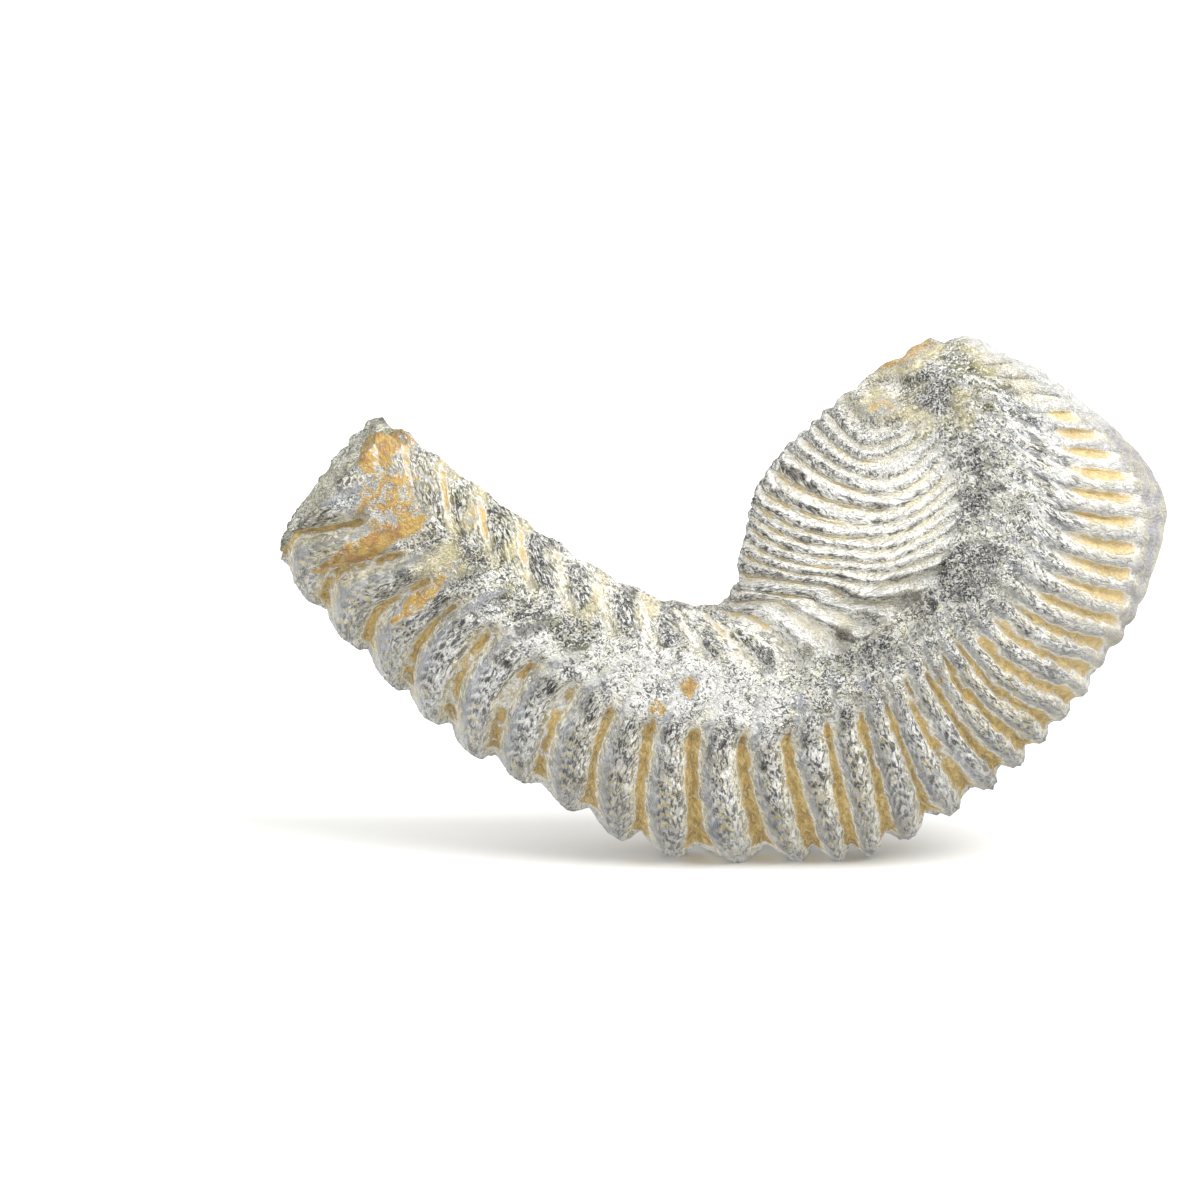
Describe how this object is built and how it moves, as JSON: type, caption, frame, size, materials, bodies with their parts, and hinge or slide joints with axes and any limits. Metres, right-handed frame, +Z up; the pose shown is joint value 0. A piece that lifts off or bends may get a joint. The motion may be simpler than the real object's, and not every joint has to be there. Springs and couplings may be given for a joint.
{
  "type": "oyster fossil",
  "caption": "Closed zigzag oyster turned to stone: a crescent with ribs that spread like a feather's barbs from a middle ridge, one end broken off, standing on its convex edge.",
  "frame": {"origin": "middle of the bounding box, on the surface it stands on", "axes": "+X from the broken arm to the lobe with the umbo, +Y from the front valve to the back valve, +Z up"},
  "size_m": [0.0826, 0.0264, 0.0488],
  "materials": {
    "chalky_shell": "matte chalky shell, weathered, with clay in the grooves"
  },
  "bodies": {
    "root": {"oyster_fossil": "chalky_shell"}
  },
  "joints": []
}
